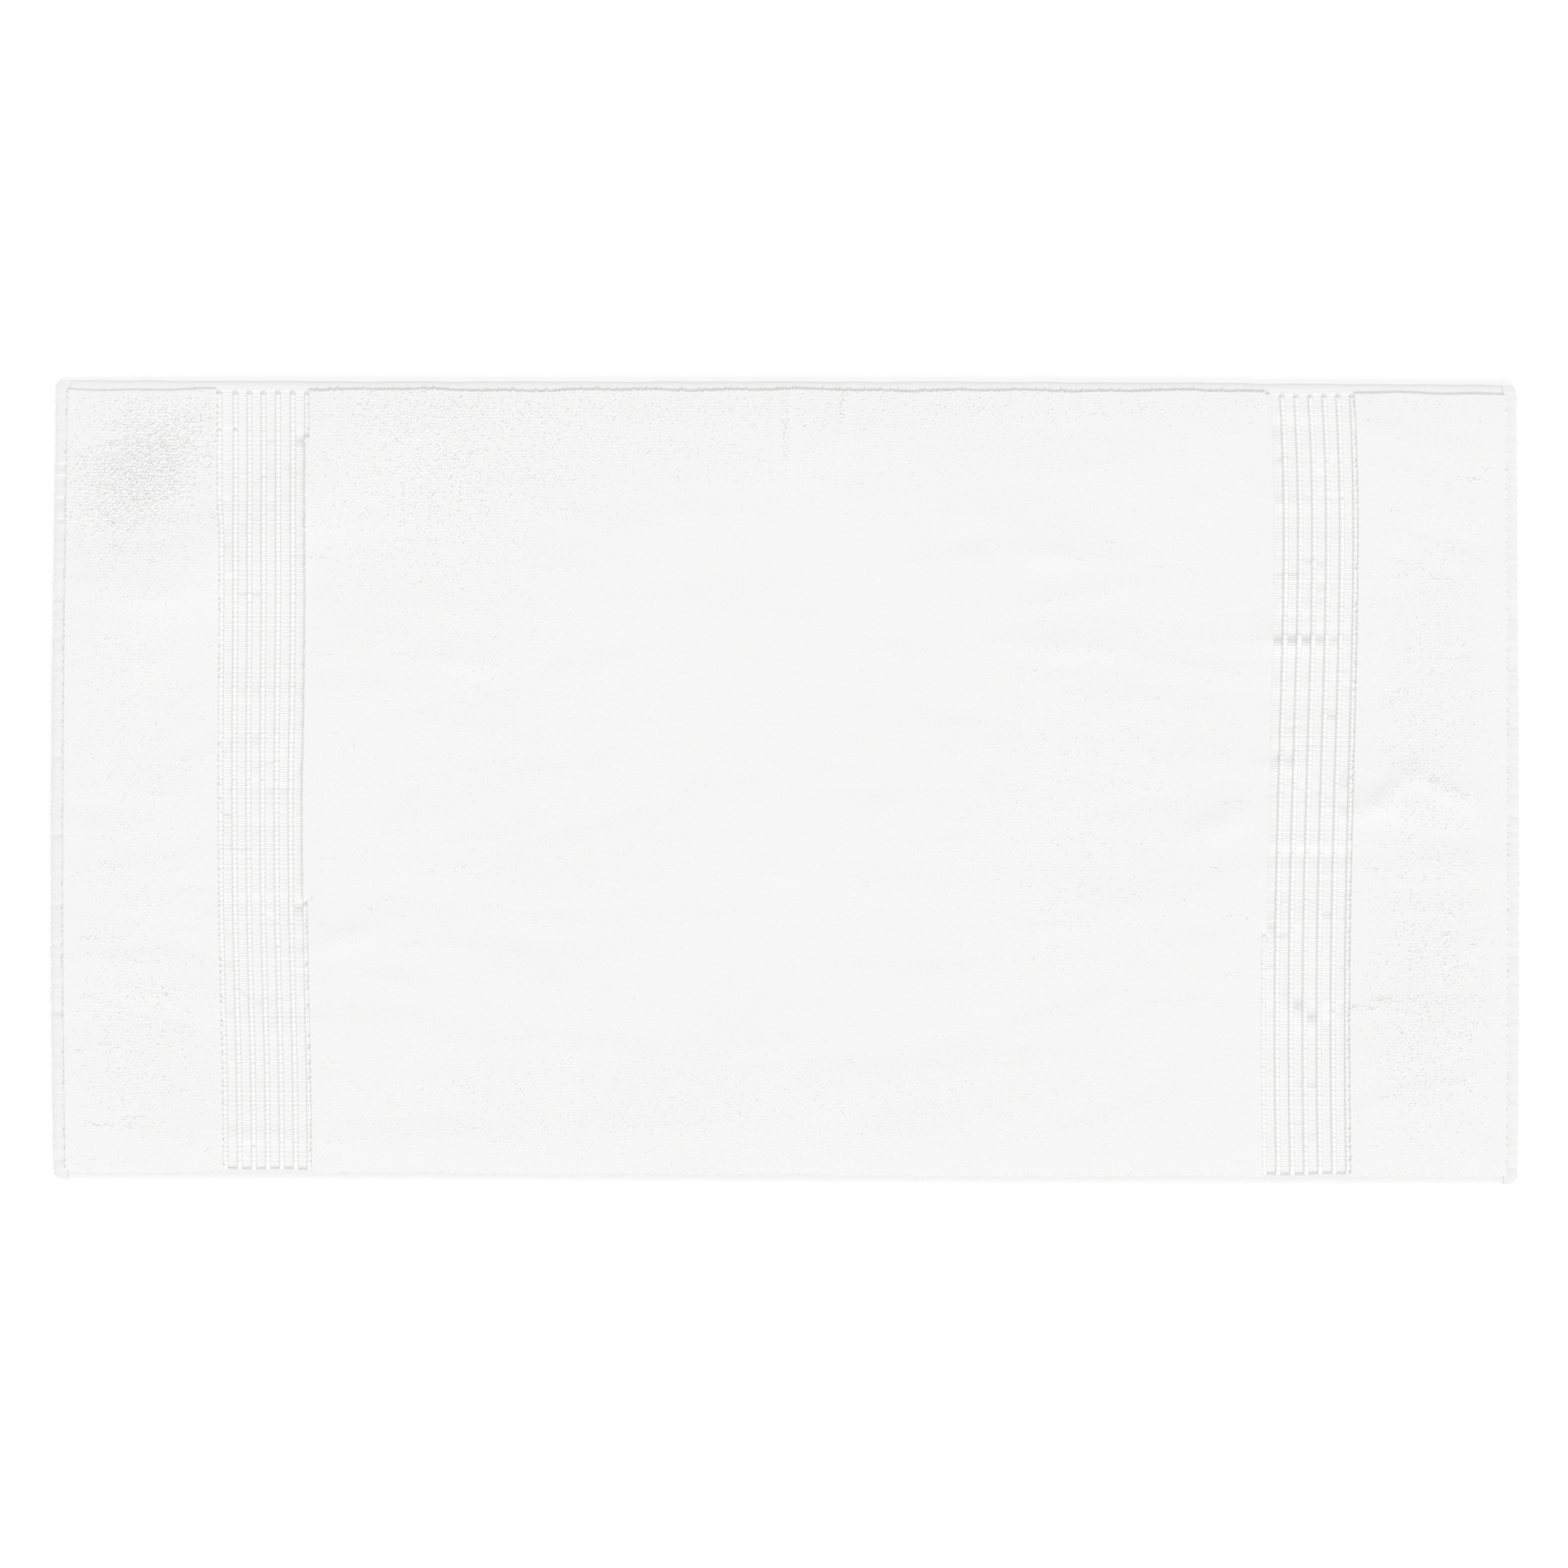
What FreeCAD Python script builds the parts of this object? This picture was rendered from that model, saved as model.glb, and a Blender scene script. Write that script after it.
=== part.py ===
# A rectangular terry bath mat, modelled lying flat, in millimetres.
#
# The mat is one woven cloth with loops on both faces. Near each end a narrow border band has no loops:
# there the cloth runs over thick cords, which raise a row of ribs across the mat. All four edges are
# folded into hems, and each hem is held down by a needle thread above and a bobbin thread below.
#
# Frame: +X along the mat, +Y across it, +Z up. The origin is on the floor under the middle of the mat.

import FreeCAD, Part
import os
import Sketcher

# Driving dimensions: name, value in millimetres (or a count), and what it measures.
SIZES = [
    ("mat_length", 900, "over the two end hems, along X"),
    ("mat_width", 492, "over the two side hems, along Y"),
    ("ground_thickness", 1.2, "woven cloth without its loops"),
    ("pile_height", 2.9, "loops on one face, from the cloth to their tips"),
    ("pile_edge_radius", 1.3, "rounding of the loops' tips at the edge of a field"),
    ("end_field_length", 93, "looped field between an end hem and its border band"),
    ("cord_count", 7, "cords in one border band"),
    ("cord_pitch", 8.6, "from one cord to the next"),
    ("band_margin", 0.2, "from the side of the outermost rib to the edge of its band"),
    ("cord_radius", 0.95, "cord inside a rib"),
    ("rib_wall", 0.5, "cloth that wraps a cord, measured outwards from its channel"),
    ("channel_clearance", 0.05, "all round a cord, inside its channel"),
    ("end_hem_width", 9, "folded hem along each short end"),
    ("side_hem_width", 7, "folded hem along each long side"),
    ("hem_thickness", 3.8, "layers of a folded hem"),
    ("hem_fold_radius", 1.0, "rounding where the cloth turns over"),
    ("hem_nose", 2.0, "from a hem's outer edge to the cloth's own edge inside it"),
    ("corner_radius", 5, "rounding of the mat's corners, seen from above"),
    ("fold_clearance", 0.05, "between the cloth and the hem that wraps it"),
    ("piece_gap", 0.2, "between a looped field, a rib or a side hem and the hem it stops at"),
    ("thread_radius", 0.3, "sewing thread"),
    ("seam_inset", 1.5, "from a hem's inner edge to its row of stitches"),
]

# The points of a sketch's line or circle, as the Sketcher numbers them.
START, END, CENTRE = 1, 2, 3

# Lengths that several pieces share, worked out from the driving dimensions.
HALF_LENGTH = "sizes.mat_length / 2"
HALF_WIDTH = "sizes.mat_width / 2"
END_HEM_INNER = f"({HALF_LENGTH} - sizes.end_hem_width)"
SIDE_HEM_INNER = f"({HALF_WIDTH} - sizes.side_hem_width)"
CHANNEL_RADIUS = "(sizes.cord_radius + sizes.channel_clearance)"
RIB_RADIUS = f"({CHANNEL_RADIUS} + sizes.rib_wall)"
OUTERMOST_CORD = f"({RIB_RADIUS} + sizes.band_margin)"
BAND_OUTER = f"({END_HEM_INNER} - sizes.end_field_length)"
BAND_INNER = f"({BAND_OUTER} - (sizes.cord_count - 1) * sizes.cord_pitch - 2 * {OUTERMOST_CORD})"
FIRST_CORD = f"({BAND_INNER} + {OUTERMOST_CORD})"
FLOOR = "0"
GROUND_LOW = "sizes.pile_height"
GROUND_MID = "(sizes.pile_height + sizes.ground_thickness / 2)"
GROUND_HIGH = "(sizes.pile_height + sizes.ground_thickness)"
PILE_TOP = f"({GROUND_HIGH} + sizes.pile_height)"
FIELD_HALF_WIDTH = f"({SIDE_HEM_INNER} - sizes.piece_gap)"
HEM_LOW = f"({GROUND_MID} - sizes.hem_thickness / 2)"
HEM_HIGH = f"({GROUND_MID} + sizes.hem_thickness / 2)"
SLOT_LOW = f"({GROUND_LOW} - sizes.fold_clearance)"
SLOT_HIGH = f"({GROUND_HIGH} + sizes.fold_clearance)"
SLOT_END_X = f"({HALF_LENGTH} - sizes.hem_nose)"
SLOT_END_Y = f"({HALF_WIDTH} - sizes.hem_nose)"

# Names and signs of what the mat has twice.
ENDS = (("left", "-"), ("right", ""))
SIDES = (("front", "-"), ("back", ""))

doc = FreeCAD.newDocument("bath_mat")
pieces = []


def make_sheet():
    """Writes the driving dimensions into the spreadsheet, one row each, with an alias."""
    sheet = doc.addObject("Spreadsheet::Sheet", "sizes")
    for row, (alias, value, meaning) in enumerate(SIZES, start=1):
        sheet.set(f"A{row}", alias)
        sheet.set(f"B{row}", str(value))
        sheet.setAlias(f"B{row}", alias)
        sheet.set(f"C{row}", meaning)
    doc.recompute()
    return sheet


sizes = make_sheet()


def value(expression):
    """What an expression over the sheet's cells comes to, as a plain number."""
    return float(sizes.evalExpression(expression))


def new_body(label):
    """An empty body, listed as one of the mat's pieces."""
    body = doc.addObject("PartDesign::Body", label)
    body.Label = label
    pieces.append(body)
    return body


def new_sketch(body, plane, name):
    """A sketch on one of the body's own origin planes."""
    sketch = body.newObject("Sketcher::SketchObject", name)
    support = next(f for f in body.Origin.OriginFeatures if f.Role == plane)
    sketch.AttachmentSupport = (support, [""])
    sketch.MapMode = "FlatFace"
    return sketch


def bind(sketch, expression, kind, *where):
    """Adds a dimension at an element, or at one of its points, and ties it to an expression."""
    index = sketch.addConstraint(Sketcher.Constraint(kind, *where, value(expression)))
    sketch.setExpression(f"Constraints[{index}]", expression)


def draw_polygon(sketch, corners):
    """Draws a closed outline whose corners are pairs of expressions."""
    spots = [FreeCAD.Vector(value(across), value(up), 0) for across, up in corners]
    for start, end in zip(spots, spots[1:] + spots[:1]):
        sketch.addGeometry(Part.LineSegment(start, end))
    for side, (across, up) in enumerate(corners):
        before = (side - 1) % len(corners)
        sketch.addConstraint(Sketcher.Constraint("Coincident", before, END, side, START))
        bind(sketch, across, "DistanceX", side, START)
        bind(sketch, up, "DistanceY", side, START)


def draw_rectangle(sketch, low, high):
    """Draws a rectangle between two opposite corners, each a pair of expressions."""
    draw_polygon(sketch, [low, (high[0], low[1]), high, (low[0], high[1])])


def draw_circle(sketch, across, up, radius):
    """Draws a circle whose centre and radius are expressions."""
    centre = FreeCAD.Vector(value(across), value(up), 0)
    sketch.addGeometry(Part.Circle(centre, FreeCAD.Vector(0, 0, 1), value(radius)))
    bind(sketch, across, "DistanceX", 0, CENTRE)
    bind(sketch, up, "DistanceY", 0, CENTRE)
    bind(sketch, radius, "Radius", 0)


def add_length(body, kind, sketch, name, length):
    """Pads or pockets a sketch by a length, half to each side of its plane."""
    feature = body.newObject(kind, name)
    feature.Profile = sketch
    feature.SideType = "Symmetric"
    feature.setExpression("Length", length)
    sketch.Visibility = False
    doc.recompute()
    return feature


def pad_up(body, sketch, name, height):
    """Pads a sketch upwards from its own height."""
    feature = body.newObject("PartDesign::Pad", name)
    feature.Profile = sketch
    feature.setExpression("Length", height)
    doc.recompute()
    return feature


def edges_where(shape, test):
    """Names of the edges whose middle passes a test on a point."""
    names = []
    for number, edge in enumerate(shape.Edges, start=1):
        if test(edge.valueAt((edge.FirstParameter + edge.LastParameter) / 2)):
            names.append(f"Edge{number}")
    return names


def near(first, second):
    """Whether two lengths are the same, to a thousandth of a millimetre."""
    return abs(first - second) < 0.001


def round_edges(body, base, name, radius, test):
    """Fillets the edges of a feature that pass a test."""
    fillet = body.newObject("PartDesign::Fillet", name)
    fillet.Base = (base, edges_where(base.Shape, test))
    fillet.setExpression("Radius", radius)
    doc.recompute()
    return fillet


def repeat_along_x(body, feature, name, forwards):
    """Repeats a rib or its channel once for each cord of the band."""
    pattern = body.newObject("PartDesign::LinearPattern", name)
    pattern.Originals = [feature]
    axis = next(f for f in body.Origin.OriginFeatures if f.Role == "X_Axis")
    pattern.Direction = (axis, [""])
    pattern.Reversed = not forwards
    pattern.setExpression("Length", "(sizes.cord_count - 1) * sizes.cord_pitch")
    pattern.setExpression("Occurrences", "sizes.cord_count")
    body.Tip = pattern
    doc.recompute()
    return pattern


# The ground cloth: one flat sheet from hem to hem, with the ribs of both border bands and the channels
# through them.
def make_ground_cloth():
    body = new_body("ground_cloth")
    outline = new_sketch(body, "XY_Plane", "cloth_outline")
    outline.setExpression("AttachmentOffset.Base.z", GROUND_LOW)
    reach_x = f"{SLOT_END_X} - sizes.fold_clearance"
    reach_y = f"{SLOT_END_Y} - sizes.fold_clearance"
    draw_rectangle(outline, (f"-({reach_x})", f"-({reach_y})"), (reach_x, reach_y))
    pad_up(body, outline, "cloth", "sizes.ground_thickness")
    for side, sign in ENDS:
        for kind, name, radius in (
            ("PartDesign::Pad", "rib", RIB_RADIUS),
            ("PartDesign::Pocket", "channel", CHANNEL_RADIUS),
        ):
            section = new_sketch(body, "XZ_Plane", f"{side}_{name}_section")
            draw_circle(section, f"{sign}{FIRST_CORD}", GROUND_MID, radius)
            first = add_length(body, kind, section, f"{side}_{name}", f"2 * {FIELD_HALF_WIDTH}")
            repeat_along_x(body, first, f"{side}_{name}s", side == "right")


# The cords that raise the ribs: one in each channel, from hem to hem.
def make_cord(side, sign, number):
    cord = doc.addObject("Part::Cylinder", f"{side}_band_cord_{number}")
    cord.Label = f"{side}_band_cord_{number}"
    cord.setExpression("Radius", "sizes.cord_radius")
    cord.setExpression("Height", f"2 * {FIELD_HALF_WIDTH}")
    cord.Placement.Rotation = FreeCAD.Rotation(FreeCAD.Vector(1, 0, 0), -90)
    place = f"{FIRST_CORD} + {number - 1} * sizes.cord_pitch"
    cord.setExpression("Placement.Base.x", f"{sign}({place})")
    cord.setExpression("Placement.Base.y", f"-{FIELD_HALF_WIDTH}")
    cord.setExpression("Placement.Base.z", GROUND_MID)
    pieces.append(cord)


# A field of loops on one face of the cloth. It stands for the loops' outer shape, with soft edges.
def make_pile(label, start, end, low, tip):
    body = new_body(label)
    outline = new_sketch(body, "XY_Plane", "field_outline")
    outline.setExpression("AttachmentOffset.Base.z", low)
    draw_rectangle(outline, (start, f"-{FIELD_HALF_WIDTH}"), (end, FIELD_HALF_WIDTH))
    loops = pad_up(body, outline, "loops", "sizes.pile_height")
    height = value(tip)
    round_edges(body, loops, "loop_tips", "sizes.pile_edge_radius", lambda point: near(point.z, height))


# A side hem: the cloth's long edge, folded over. Its slot holds the edge of the ground cloth.
def make_side_hem(label, sign):
    body = new_body(label)
    outer, inner, slot = f"{sign}({HALF_WIDTH})", f"{sign}{SIDE_HEM_INNER}", f"{sign}{SLOT_END_Y}"
    profile = new_sketch(body, "YZ_Plane", "fold_profile")
    draw_polygon(
        profile,
        [
            (inner, HEM_LOW),
            (outer, HEM_LOW),
            (outer, HEM_HIGH),
            (inner, HEM_HIGH),
            (inner, SLOT_HIGH),
            (slot, SLOT_HIGH),
            (slot, SLOT_LOW),
            (inner, SLOT_LOW),
        ],
    )
    length = f"2 * ({END_HEM_INNER} - sizes.piece_gap)"
    fold = add_length(body, "PartDesign::Pad", profile, "fold", length)
    edge = value(outer)

    def on_turn(point):
        return near(point.y, edge) and (near(point.z, value(HEM_LOW)) or near(point.z, value(HEM_HIGH)))

    round_edges(body, fold, "turn", "sizes.hem_fold_radius", on_turn)


# An end hem: as a side hem, but it runs over the mat's whole width and makes the rounded corners.
def make_end_hem(label, sign):
    body = new_body(label)
    outer, inner, slot = f"{sign}({HALF_LENGTH})", f"{sign}{END_HEM_INNER}", f"{sign}{SLOT_END_X}"
    outline = new_sketch(body, "XY_Plane", "hem_outline")
    outline.setExpression("AttachmentOffset.Base.z", HEM_LOW)
    draw_rectangle(outline, (inner, f"-({HALF_WIDTH})"), (outer, HALF_WIDTH))
    strip = pad_up(body, outline, "strip", "sizes.hem_thickness")
    edge, end = value(outer), value(HALF_WIDTH)

    def on_corner(point):
        return near(point.x, edge) and near(abs(point.y), end)

    corners = round_edges(body, strip, "corners", "sizes.corner_radius", on_corner)

    def on_turn(point):
        on_face = near(point.z, value(HEM_LOW)) or near(point.z, value(HEM_HIGH))
        return on_face and not near(point.x, value(inner))

    round_edges(body, corners, "turn", "sizes.hem_fold_radius", on_turn)
    gap = new_sketch(body, "XZ_Plane", "slot_outline")
    draw_rectangle(gap, (inner, SLOT_LOW), (slot, SLOT_HIGH))
    add_length(body, "PartDesign::Pocket", gap, "slot", f"2 * {HALF_WIDTH}")


# A sewing thread: a thin rod that lies on a hem, above it or below it.
def make_thread(label, along_x, place, under):
    thread = doc.addObject("Part::Cylinder", label)
    thread.Label = label
    thread.setExpression("Radius", "sizes.thread_radius")
    half_run = f"({END_HEM_INNER} - sizes.piece_gap)" if along_x else f"({HALF_WIDTH} - sizes.corner_radius)"
    thread.setExpression("Height", f"2 * {half_run}")
    if along_x:
        thread.Placement.Rotation = FreeCAD.Rotation(FreeCAD.Vector(0, 1, 0), 90)
        thread.setExpression("Placement.Base.x", f"-{half_run}")
        thread.setExpression("Placement.Base.y", place)
    else:
        thread.Placement.Rotation = FreeCAD.Rotation(FreeCAD.Vector(1, 0, 0), -90)
        thread.setExpression("Placement.Base.x", place)
        thread.setExpression("Placement.Base.y", f"-{half_run}")
    on_hem = f"{HEM_LOW} - sizes.thread_radius" if under else f"{HEM_HIGH} + sizes.thread_radius"
    thread.setExpression("Placement.Base.z", on_hem)
    pieces.append(thread)


def check_and_export():
    """Stops on a failed feature or a bad solid, and writes each piece to its own file."""
    doc.recompute()
    failed = [item.Label for item in doc.Objects if {"Invalid", "Error"} & set(item.State)]
    if failed:
        raise RuntimeError(f"failed features: {failed}")
    os.makedirs("parts", exist_ok=True)
    for piece in pieces:
        shape = piece.Shape
        if shape.isNull() or not shape.isValid() or not shape.Solids:
            raise RuntimeError(f"bad solid: {piece.Label}")
        shape.exportStep(f"parts/{piece.Label}.step")
        box = shape.optimalBoundingBox()
        spans = " x ".join(f"{length:.1f}" for length in (box.XLength, box.YLength, box.ZLength))
        print(f"{piece.Label}: {shape.Volume:.0f} mm3, {spans}")


make_ground_cloth()
for side, sign in ENDS:
    for number in range(1, int(value("sizes.cord_count")) + 1):
        make_cord(side, sign, number)
for face, low, tip in (("upper", GROUND_HIGH, PILE_TOP), ("lower", FLOOR, FLOOR)):
    field_end = f"({END_HEM_INNER} - sizes.piece_gap)"
    make_pile(f"{face}_pile_left", f"-{field_end}", f"-{BAND_OUTER}", low, tip)
    make_pile(f"{face}_pile_centre", f"-{BAND_INNER}", BAND_INNER, low, tip)
    make_pile(f"{face}_pile_right", BAND_OUTER, field_end, low, tip)
for place, sign in SIDES:
    make_side_hem(f"side_hem_{place}", sign)
    seam = f"{sign}({SIDE_HEM_INNER} + sizes.seam_inset)"
    make_thread(f"side_hem_{place}_needle_thread", True, seam, False)
    make_thread(f"side_hem_{place}_bobbin_thread", True, seam, True)
for place, sign in ENDS:
    make_end_hem(f"end_hem_{place}", sign)
    seam = f"{sign}({END_HEM_INNER} + sizes.seam_inset)"
    make_thread(f"end_hem_{place}_needle_thread", False, seam, False)
    make_thread(f"end_hem_{place}_bobbin_thread", False, seam, True)
check_and_export()
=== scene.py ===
# %% [markdown]
# # A cotton terry bath mat
#
# A terry mat is woven from four sets of yarn. The warp runs along the mat and the weft across it, and
# together they make the ground cloth. Two more sets of warp stand up in loops, one on each face. Near
# each end the loops stop for a border band: there the warp passes over and under seven thick cords, which
# gives a row of ribs. The four edges are folded into hems and sewn down.
#
# The lesson builds the mat from those yarns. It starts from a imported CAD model, the frame, which says
# where each piece belongs and how large it is. Every length below is in metres, the unit of the frame.

# %% Load the frame
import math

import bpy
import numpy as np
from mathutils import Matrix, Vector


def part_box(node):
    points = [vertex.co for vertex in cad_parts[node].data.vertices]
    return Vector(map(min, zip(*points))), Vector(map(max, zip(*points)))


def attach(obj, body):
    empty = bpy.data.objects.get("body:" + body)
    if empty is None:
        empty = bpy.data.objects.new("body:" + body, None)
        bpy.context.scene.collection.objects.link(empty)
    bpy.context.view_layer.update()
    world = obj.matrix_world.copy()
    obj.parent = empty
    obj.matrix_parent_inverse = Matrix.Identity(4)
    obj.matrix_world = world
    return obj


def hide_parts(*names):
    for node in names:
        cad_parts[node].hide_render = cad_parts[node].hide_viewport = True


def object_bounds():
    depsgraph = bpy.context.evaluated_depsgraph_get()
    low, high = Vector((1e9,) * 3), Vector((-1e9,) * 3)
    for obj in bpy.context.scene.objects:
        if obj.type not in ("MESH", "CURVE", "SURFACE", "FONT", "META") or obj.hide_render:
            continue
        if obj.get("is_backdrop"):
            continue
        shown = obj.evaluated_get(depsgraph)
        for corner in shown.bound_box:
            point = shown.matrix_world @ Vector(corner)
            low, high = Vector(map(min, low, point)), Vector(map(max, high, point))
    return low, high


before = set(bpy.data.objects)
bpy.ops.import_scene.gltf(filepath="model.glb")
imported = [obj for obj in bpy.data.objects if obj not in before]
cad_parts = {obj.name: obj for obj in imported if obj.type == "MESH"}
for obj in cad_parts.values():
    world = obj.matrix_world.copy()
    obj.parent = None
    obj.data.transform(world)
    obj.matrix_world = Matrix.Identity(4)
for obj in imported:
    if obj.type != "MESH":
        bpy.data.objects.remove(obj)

# %% [markdown]
# ## Libraries and units
#
# The frame is in metres, but cloth is easier to think about in millimetres, so `MM` turns one into the
# other. A mat has no moving parts, so every piece rides on one body. The box of the CAD model is measured
# now, before anything is added, and printed with the finished mat's box at the end.

MM = 0.001
BODY = "root"
cad_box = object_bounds()
print("nodes in the frame:", len(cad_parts))

# %% [markdown]
# ## Sizes read from the frame
#
# A piece that stands for a CAD node must lie where that node lies. So the places of hems, fields and
# cords are read from the nodes' boxes, and only what the CAD model leaves out, such as the pitch of a
# yarn, is a new value.

# %% Places of the main parts
CENTRE_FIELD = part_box("upper_pile_centre")
LOWER_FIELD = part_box("lower_pile_centre")
CLOTH_LOW = LOWER_FIELD[1].z
CLOTH_HIGH = CENTRE_FIELD[0].z
CLOTH_MID = (CLOTH_LOW + CLOTH_HIGH) / 2
LOOP_TOP = CENTRE_FIELD[1].z
HALF_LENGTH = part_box("end_hem_right")[1].x
HALF_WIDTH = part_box("end_hem_right")[1].y
END_HEM_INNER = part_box("end_hem_right")[0].x
SIDE_HEM_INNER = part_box("side_hem_back")[0].y
HEM_HALF_THICKNESS = (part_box("side_hem_back")[1].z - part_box("side_hem_back")[0].z) / 2
BAND_INNER = CENTRE_FIELD[1].x
BAND_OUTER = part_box("upper_pile_right")[0].x
BAND_MIDDLE = (BAND_INNER + BAND_OUTER) / 2
CORDS = sorted(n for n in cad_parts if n.startswith("right_band_cord"))
CORD_PLACES = [(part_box(n)[0].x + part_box(n)[1].x) / 2 for n in CORDS]
CORD_RADIUS = (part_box(CORDS[0])[1].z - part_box(CORDS[0])[0].z) / 2
CORD_PITCH = CORD_PLACES[1] - CORD_PLACES[0]
print(f"mat {2 * HALF_LENGTH / MM:.0f} x {2 * HALF_WIDTH / MM:.0f} x {LOOP_TOP / MM:.1f} mm")
print(f"{len(CORDS)} cords a band, {CORD_PITCH / MM:.2f} mm apart")

# %% [markdown]
# ## Small tools
#
# Blender's operators work on what is selected, so each piece is selected before it is changed. A new
# piece gets its name at once, and its turn and scale go into its mesh, so that it stays unturned and
# unscaled at the origin.

# %% Select and name a piece
def select_only(piece):
    bpy.ops.object.select_all(action="DESELECT")
    piece.select_set(True)
    bpy.context.view_layer.objects.active = piece


def named(name):
    """Gives the new active object its name, with its turn and scale applied to its mesh."""
    piece = bpy.context.object
    piece.name = piece.data.name = name
    select_only(piece)
    bpy.ops.object.transform_apply(location=True, rotation=True, scale=True)
    return piece


# %% [markdown]
# Modifiers do the repeating: one yarn or one loop is modelled by hand, Screw draws a section out into a
# tube, and Array copies it. Applied, the copies are ordinary vertices, which can each be moved later.

# %% Modifiers and edit mode
def apply_modifiers(piece):
    select_only(piece)
    for modifier in list(piece.modifiers):
        bpy.ops.object.modifier_apply(modifier=modifier.name)


def repeat(piece, count, step):
    """Adds an Array modifier that copies the piece by a fixed step."""
    array = piece.modifiers.new("repeat", "ARRAY")
    array.use_relative_offset = False
    array.use_constant_offset = True
    array.constant_offset_displace = step
    array.count = count


def lengthen(piece, axis, length, steps):
    """Adds a Screw modifier that draws a flat section out along an axis, without turning it."""
    run = piece.modifiers.new("length", "SCREW")
    run.angle = 0
    run.axis = axis
    run.screw_offset = length
    run.steps = run.render_steps = steps


def edit_faces(piece, close_ends=False, outward=False, flip=False):
    """Closes the open ends of a piece, turns all its faces outward, or flips them."""
    select_only(piece)
    bpy.ops.object.mode_set(mode="EDIT")
    bpy.ops.mesh.select_all(action="SELECT")
    if close_ends:
        bpy.ops.mesh.fill_holes(sides=0)
    if outward:
        bpy.ops.mesh.normals_make_consistent(inside=False)
    if flip:
        bpy.ops.mesh.flip_normals()
    bpy.ops.object.mode_set(mode="OBJECT")


# %% [markdown]
# Sculpting by formula needs all the vertices of a mesh at once, and a few curves to shape them by.
# `points` and `move_points` read and write a whole mesh. `smooth_step` is a soft ramp, and `bell` a soft
# bump.

# %% Points and curves
def points(piece):
    flat = np.empty(len(piece.data.vertices) * 3)
    piece.data.vertices.foreach_get("co", flat)
    return flat.reshape(-1, 3)


def move_points(piece, places):
    piece.data.vertices.foreach_set("co", places.ravel())
    piece.data.update()


def smooth_step(value, low, high):
    """0 below low, 1 above high, and an even slope between them."""
    share = np.clip((value - low) / (high - low), 0, 1)
    return share * share * (3 - 2 * share)


def bell(distance, reach):
    """1 where the distance is none, and soon 0 beyond the reach."""
    return np.exp(-((distance / reach) ** 2))


def report(piece):
    piece.data.calc_loop_triangles()
    print(f"{piece.name}: {len(piece.data.loop_triangles)} triangles")


# %% [markdown]
# ## How the mat lies
#
# A mat that has been folded and put down is never quite flat or quite straight. The weft leans a
# little, so the border bands wander by a few millimetres. The middle stands slightly proud of the edges,
# and low wrinkles run along the mat. One function, `lay`, holds all of this, and every piece goes
# through it at the end, so that the loops, the cloth, the cords and the hems stay together. A cloth
# simulation could drape the mat too, but it could not put a given wrinkle in a given place.
#
# A wrinkle is a low ridge, longer than it is wide. The ones that can be told apart are listed here.

# %% Wrinkles placed one by one
# Each ridge: middle x and y, half length, half width, height (all in millimetres) and turn in degrees.
RIDGES = [
    (-330, 150, 90, 30, 2.6, 33),
    (-408, 120, 30, 9, 0.9, -4),
    (-395, 139, 34, 7, 0.8, 5),
    (372, -4, 20, 6, 2.0, 38),
    (402, -1, 22, 6, 2.0, -26),
    (368, -14, 26, 7, 1.2, 4),
    (268, -24, 18, 8, 1.6, 20),
    (311, 89, 26, 5, 1.6, 2),
    (306, 106, 24, 5, -1.0, 0),
    (304, 12, 14, 5, 1.6, 8),
    (304, 22, 12, 5, -0.7, 8),
    (0, 222, 34, 3.2, 0.8, 90),
    (34, 224, 30, 3.2, 0.7, 84),
    (-182, 58, 13, 3, -0.9, -32),
    (-272, -98, 30, 7, 1.2, 18),
    (110, 150, 10, 6, -1.0, 0),
    (165, 140, 34, 7, 1.1, -8),
    (172, 82, 34, 7, 1.1, -4),
    (-310, -148, 22, 6, 1.0, 0),
    (320, -140, 16, 6, 1.0, -40),
    (-296, 213, 4, 3, -1.3, 0),
    (-296, -75, 4, 3, -1.3, 0),
    (296, -92, 4, 3, -1.3, 0),
]
RIDGE_REACH = 3.2


def height_of(ridges, x, y):
    """The summed height of the ridges at each place, in metres."""
    height = np.zeros(len(x))
    for across, along, half_length, half_width, top, turn in ridges:
        cosine, sine = math.cos(math.radians(turn)), math.sin(math.radians(turn))
        dx, dy = x / MM - across, y / MM - along
        reach = RIDGE_REACH * half_length + RIDGE_REACH * half_width
        near = np.flatnonzero(np.abs(dx) + np.abs(dy) < reach)
        along_it = (dx[near] * cosine + dy[near] * sine) / half_length
        over_it = (dy[near] * cosine - dx[near] * sine) / half_width
        height[near] += top * MM * np.exp(-(along_it**2) - over_it**2)
    return height


print(len(RIDGES), "wrinkles placed by hand")

# %% [markdown]
# Between the main wrinkles the cloth is covered with fainter ones, and where neighbouring rows of loops
# part there are short creases. There are too many to place, so they come from seeded random draws, which
# give the same ones on every run. All sizes here are in millimetres and degrees.

# %% Faint wrinkles
FAINT_RIDGES = 230
FAINT_AREA = (430, 230)
FAINT_HEIGHT = (0.2, 0.6)
FAINT_HALF_LENGTH = (16, 50)
FAINT_HALF_WIDTH = (4, 9)
FAN = -14
FAINT_TURN = 7


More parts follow.
